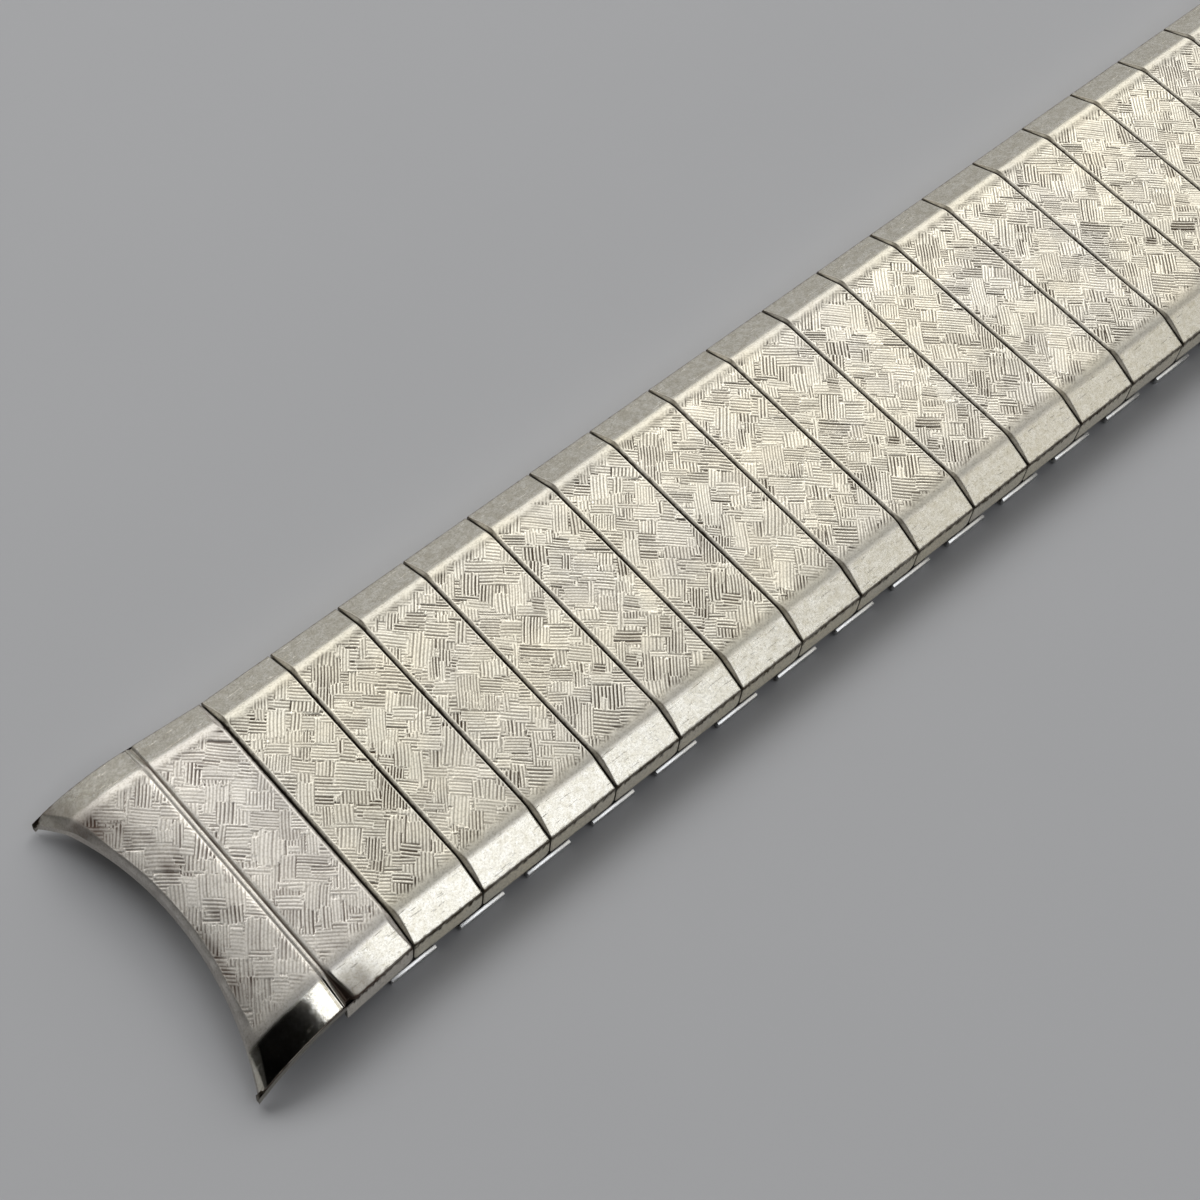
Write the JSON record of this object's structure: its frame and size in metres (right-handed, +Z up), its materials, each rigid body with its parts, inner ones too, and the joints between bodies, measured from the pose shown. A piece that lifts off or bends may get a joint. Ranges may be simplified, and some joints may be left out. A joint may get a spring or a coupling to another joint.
{
  "type": "expansion watch band",
  "caption": "Metal expansion watch band of staggered sprung links with engraved caps, sloped flanks and curved end caps with spring-bar tubes.",
  "frame": {"origin": "middle of the closed band, on the surface that it lies on", "axes": "+X along the band, away from the end cap that the picture shows; +Y across it; +Z up, out of the engraved side"},
  "size_m": [0.1082, 0.0202, 0.0039],
  "materials": {
    "cap_steel": "engraved crown with lines in blocks, satin to polished flanks",
    "link_steel": "satin rolled strip",
    "liner_steel": "satin stamped strip, a little dull"
  },
  "bodies": {
    "start_end": {"end_cap_start": "cap_steel", "end_liner_start": "liner_steel"},
    "cap_link_01": {"cap_01": "cap_steel", "upper_sleeve_01": "link_steel"},
    "cap_link_02": {"cap_02": "cap_steel", "upper_sleeve_02": "link_steel"},
    "cap_link_03": {"cap_03": "cap_steel", "upper_sleeve_03": "link_steel"},
    "cap_link_04": {"cap_04": "cap_steel", "upper_sleeve_04": "link_steel"},
    "cap_link_05": {"cap_05": "cap_steel", "upper_sleeve_05": "link_steel"},
    "cap_link_06": {"cap_06": "cap_steel", "upper_sleeve_06": "link_steel"},
    "cap_link_07": {"cap_07": "cap_steel", "upper_sleeve_07": "link_steel"},
    "cap_link_08": {"cap_08": "cap_steel", "upper_sleeve_08": "link_steel"},
    "cap_link_09": {"cap_09": "cap_steel", "upper_sleeve_09": "link_steel"},
    "cap_link_10": {"cap_10": "cap_steel", "upper_sleeve_10": "link_steel"},
    "cap_link_11": {"cap_11": "cap_steel", "upper_sleeve_11": "link_steel"},
    "cap_link_12": {"cap_12": "cap_steel", "upper_sleeve_12": "link_steel"},
    "cap_link_13": {"cap_13": "cap_steel", "upper_sleeve_13": "link_steel"},
    "cap_link_14": {"cap_14": "cap_steel", "upper_sleeve_14": "link_steel"},
    "cap_link_15": {"cap_15": "cap_steel", "upper_sleeve_15": "link_steel"},
    "cap_link_16": {"cap_16": "cap_steel", "upper_sleeve_16": "link_steel"},
    "cap_link_17": {"cap_17": "cap_steel", "upper_sleeve_17": "link_steel"},
    "cap_link_18": {"cap_18": "cap_steel", "upper_sleeve_18": "link_steel"},
    "finish_end": {"end_cap_finish": "cap_steel", "end_liner_finish": "liner_steel"},
    "inner_link_00": {"lower_link_00": "link_steel"},
    "inner_link_01": {"lower_link_01": "link_steel"},
    "inner_link_02": {"lower_link_02": "link_steel"},
    "inner_link_03": {"lower_link_03": "link_steel"},
    "inner_link_04": {"lower_link_04": "link_steel"},
    "inner_link_05": {"lower_link_05": "link_steel"},
    "inner_link_06": {"lower_link_06": "link_steel"},
    "inner_link_07": {"lower_link_07": "link_steel"},
    "inner_link_08": {"lower_link_08": "link_steel"},
    "inner_link_09": {"lower_link_09": "link_steel"},
    "inner_link_10": {"lower_link_10": "link_steel"},
    "inner_link_11": {"lower_link_11": "link_steel"},
    "inner_link_12": {"lower_link_12": "link_steel"},
    "inner_link_13": {"lower_link_13": "link_steel"},
    "inner_link_14": {"lower_link_14": "link_steel"},
    "inner_link_15": {"lower_link_15": "link_steel"},
    "inner_link_16": {"lower_link_16": "link_steel"},
    "inner_link_17": {"lower_link_17": "link_steel"},
    "inner_link_18": {"lower_link_18": "link_steel"}
  },
  "joints": [
    {"name": "stretch", "type": "slide", "parent": "inner_link_09", "child": "cap_link_09", "axis": [-1, 0, 0], "range_m": [0, 0.00105], "stiffness_N_per_m": 1500},
    {"name": "curl", "type": "hinge", "parent": "inner_link_09", "child": "cap_link_10", "pos_m": [0.0024, 0, 0.00075], "axis": [0, 1, 0], "range_deg": [0, 12.5], "stiffness_Nm_per_rad": 0.05},
    {"name": "curl_08", "type": "hinge", "parent": "cap_link_09", "child": "inner_link_08", "pos_m": [-0.0024, 0, 0.00075], "axis": [0, -1, 0], "range_deg": [0, 12.5], "stiffness_Nm_per_rad": 0.05},
    {"name": "stretch_08", "type": "slide", "parent": "inner_link_08", "child": "cap_link_08", "axis": [-1, 0, 0], "range_m": [0, 0.00105], "stiffness_N_per_m": 1500},
    {"name": "curl_07", "type": "hinge", "parent": "cap_link_08", "child": "inner_link_07", "pos_m": [-0.0072, 0, 0.00075], "axis": [0, -1, 0], "range_deg": [0, 12.5], "stiffness_Nm_per_rad": 0.05},
    {"name": "stretch_07", "type": "slide", "parent": "inner_link_07", "child": "cap_link_07", "axis": [-1, 0, 0], "range_m": [0, 0.00105], "stiffness_N_per_m": 1500},
    {"name": "curl_06", "type": "hinge", "parent": "cap_link_07", "child": "inner_link_06", "pos_m": [-0.012, 0, 0.00075], "axis": [0, -1, 0], "range_deg": [0, 12.5], "stiffness_Nm_per_rad": 0.05},
    {"name": "stretch_06", "type": "slide", "parent": "inner_link_06", "child": "cap_link_06", "axis": [-1, 0, 0], "range_m": [0, 0.00105], "stiffness_N_per_m": 1500},
    {"name": "curl_05", "type": "hinge", "parent": "cap_link_06", "child": "inner_link_05", "pos_m": [-0.0168, 0, 0.00075], "axis": [0, -1, 0], "range_deg": [0, 12.5], "stiffness_Nm_per_rad": 0.05},
    {"name": "stretch_05", "type": "slide", "parent": "inner_link_05", "child": "cap_link_05", "axis": [-1, 0, 0], "range_m": [0, 0.00105], "stiffness_N_per_m": 1500},
    {"name": "curl_04", "type": "hinge", "parent": "cap_link_05", "child": "inner_link_04", "pos_m": [-0.0216, 0, 0.00075], "axis": [0, -1, 0], "range_deg": [0, 12.5], "stiffness_Nm_per_rad": 0.05},
    {"name": "stretch_04", "type": "slide", "parent": "inner_link_04", "child": "cap_link_04", "axis": [-1, 0, 0], "range_m": [0, 0.00105], "stiffness_N_per_m": 1500},
    {"name": "curl_03", "type": "hinge", "parent": "cap_link_04", "child": "inner_link_03", "pos_m": [-0.0264, 0, 0.00075], "axis": [0, -1, 0], "range_deg": [0, 12.5], "stiffness_Nm_per_rad": 0.05},
    {"name": "stretch_03", "type": "slide", "parent": "inner_link_03", "child": "cap_link_03", "axis": [-1, 0, 0], "range_m": [0, 0.00105], "stiffness_N_per_m": 1500},
    {"name": "curl_02", "type": "hinge", "parent": "cap_link_03", "child": "inner_link_02", "pos_m": [-0.0312, 0, 0.00075], "axis": [0, -1, 0], "range_deg": [0, 12.5], "stiffness_Nm_per_rad": 0.05},
    {"name": "stretch_02", "type": "slide", "parent": "inner_link_02", "child": "cap_link_02", "axis": [-1, 0, 0], "range_m": [0, 0.00105], "stiffness_N_per_m": 1500},
    {"name": "curl_01", "type": "hinge", "parent": "cap_link_02", "child": "inner_link_01", "pos_m": [-0.036, 0, 0.00075], "axis": [0, -1, 0], "range_deg": [0, 12.5], "stiffness_Nm_per_rad": 0.05},
    {"name": "stretch_01", "type": "slide", "parent": "inner_link_01", "child": "cap_link_01", "axis": [-1, 0, 0], "range_m": [0, 0.00105], "stiffness_N_per_m": 1500},
    {"name": "curl_00", "type": "hinge", "parent": "cap_link_01", "child": "inner_link_00", "pos_m": [-0.0408, 0, 0.00075], "axis": [0, -1, 0], "range_deg": [0, 12.5], "stiffness_Nm_per_rad": 0.05},
    {"name": "stretch_00", "type": "slide", "parent": "inner_link_00", "child": "start_end", "axis": [-1, 0, 0], "range_m": [0, 0.00105], "stiffness_N_per_m": 1500},
    {"name": "stretch_10", "type": "slide", "parent": "cap_link_10", "child": "inner_link_10", "axis": [1, 0, 0], "range_m": [0, 0.00105], "stiffness_N_per_m": 1500},
    {"name": "curl_10", "type": "hinge", "parent": "inner_link_10", "child": "cap_link_11", "pos_m": [0.0072, 0, 0.00075], "axis": [0, 1, 0], "range_deg": [0, 12.5], "stiffness_Nm_per_rad": 0.05},
    {"name": "stretch_11", "type": "slide", "parent": "cap_link_11", "child": "inner_link_11", "axis": [1, 0, 0], "range_m": [0, 0.00105], "stiffness_N_per_m": 1500},
    {"name": "curl_11", "type": "hinge", "parent": "inner_link_11", "child": "cap_link_12", "pos_m": [0.012, 0, 0.00075], "axis": [0, 1, 0], "range_deg": [0, 12.5], "stiffness_Nm_per_rad": 0.05},
    {"name": "stretch_12", "type": "slide", "parent": "cap_link_12", "child": "inner_link_12", "axis": [1, 0, 0], "range_m": [0, 0.00105], "stiffness_N_per_m": 1500},
    {"name": "curl_12", "type": "hinge", "parent": "inner_link_12", "child": "cap_link_13", "pos_m": [0.0168, 0, 0.00075], "axis": [0, 1, 0], "range_deg": [0, 12.5], "stiffness_Nm_per_rad": 0.05},
    {"name": "stretch_13", "type": "slide", "parent": "cap_link_13", "child": "inner_link_13", "axis": [1, 0, 0], "range_m": [0, 0.00105], "stiffness_N_per_m": 1500},
    {"name": "curl_13", "type": "hinge", "parent": "inner_link_13", "child": "cap_link_14", "pos_m": [0.0216, 0, 0.00075], "axis": [0, 1, 0], "range_deg": [0, 12.5], "stiffness_Nm_per_rad": 0.05},
    {"name": "stretch_14", "type": "slide", "parent": "cap_link_14", "child": "inner_link_14", "axis": [1, 0, 0], "range_m": [0, 0.00105], "stiffness_N_per_m": 1500},
    {"name": "curl_14", "type": "hinge", "parent": "inner_link_14", "child": "cap_link_15", "pos_m": [0.0264, 0, 0.00075], "axis": [0, 1, 0], "range_deg": [0, 12.5], "stiffness_Nm_per_rad": 0.05},
    {"name": "stretch_15", "type": "slide", "parent": "cap_link_15", "child": "inner_link_15", "axis": [1, 0, 0], "range_m": [0, 0.00105], "stiffness_N_per_m": 1500},
    {"name": "curl_15", "type": "hinge", "parent": "inner_link_15", "child": "cap_link_16", "pos_m": [0.0312, 0, 0.00075], "axis": [0, 1, 0], "range_deg": [0, 12.5], "stiffness_Nm_per_rad": 0.05},
    {"name": "stretch_16", "type": "slide", "parent": "cap_link_16", "child": "inner_link_16", "axis": [1, 0, 0], "range_m": [0, 0.00105], "stiffness_N_per_m": 1500},
    {"name": "curl_16", "type": "hinge", "parent": "inner_link_16", "child": "cap_link_17", "pos_m": [0.036, 0, 0.00075], "axis": [0, 1, 0], "range_deg": [0, 12.5], "stiffness_Nm_per_rad": 0.05},
    {"name": "stretch_17", "type": "slide", "parent": "cap_link_17", "child": "inner_link_17", "axis": [1, 0, 0], "range_m": [0, 0.00105], "stiffness_N_per_m": 1500},
    {"name": "curl_17", "type": "hinge", "parent": "inner_link_17", "child": "cap_link_18", "pos_m": [0.0408, 0, 0.00075], "axis": [0, 1, 0], "range_deg": [0, 12.5], "stiffness_Nm_per_rad": 0.05},
    {"name": "stretch_18", "type": "slide", "parent": "cap_link_18", "child": "inner_link_18", "axis": [1, 0, 0], "range_m": [0, 0.00105], "stiffness_N_per_m": 1500},
    {"name": "curl_18", "type": "hinge", "parent": "inner_link_18", "child": "finish_end", "pos_m": [0.0456, 0, 0.00075], "axis": [0, 1, 0], "range_deg": [0, 12.5], "stiffness_Nm_per_rad": 0.05}
  ],
  "couplings": [
    {"joint": "curl_08", "follows": "curl", "ratio": 1},
    {"joint": "stretch_08", "follows": "stretch", "ratio": 1},
    {"joint": "curl_07", "follows": "curl", "ratio": 1},
    {"joint": "stretch_07", "follows": "stretch", "ratio": 1},
    {"joint": "curl_06", "follows": "curl", "ratio": 1},
    {"joint": "stretch_06", "follows": "stretch", "ratio": 1},
    {"joint": "curl_05", "follows": "curl", "ratio": 1},
    {"joint": "stretch_05", "follows": "stretch", "ratio": 1},
    {"joint": "curl_04", "follows": "curl", "ratio": 1},
    {"joint": "stretch_04", "follows": "stretch", "ratio": 1},
    {"joint": "curl_03", "follows": "curl", "ratio": 1},
    {"joint": "stretch_03", "follows": "stretch", "ratio": 1},
    {"joint": "curl_02", "follows": "curl", "ratio": 1},
    {"joint": "stretch_02", "follows": "stretch", "ratio": 1},
    {"joint": "curl_01", "follows": "curl", "ratio": 1},
    {"joint": "stretch_01", "follows": "stretch", "ratio": 1},
    {"joint": "curl_00", "follows": "curl", "ratio": 1},
    {"joint": "stretch_00", "follows": "stretch", "ratio": 1},
    {"joint": "stretch_10", "follows": "stretch", "ratio": 1},
    {"joint": "curl_10", "follows": "curl", "ratio": 1},
    {"joint": "stretch_11", "follows": "stretch", "ratio": 1},
    {"joint": "curl_11", "follows": "curl", "ratio": 1},
    {"joint": "stretch_12", "follows": "stretch", "ratio": 1},
    {"joint": "curl_12", "follows": "curl", "ratio": 1},
    {"joint": "stretch_13", "follows": "stretch", "ratio": 1},
    {"joint": "curl_13", "follows": "curl", "ratio": 1},
    {"joint": "stretch_14", "follows": "stretch", "ratio": 1},
    {"joint": "curl_14", "follows": "curl", "ratio": 1},
    {"joint": "stretch_15", "follows": "stretch", "ratio": 1},
    {"joint": "curl_15", "follows": "curl", "ratio": 1},
    {"joint": "stretch_16", "follows": "stretch", "ratio": 1},
    {"joint": "curl_16", "follows": "curl", "ratio": 1},
    {"joint": "stretch_17", "follows": "stretch", "ratio": 1},
    {"joint": "curl_17", "follows": "curl", "ratio": 1},
    {"joint": "stretch_18", "follows": "stretch", "ratio": 1},
    {"joint": "curl_18", "follows": "curl", "ratio": 1}
  ]
}
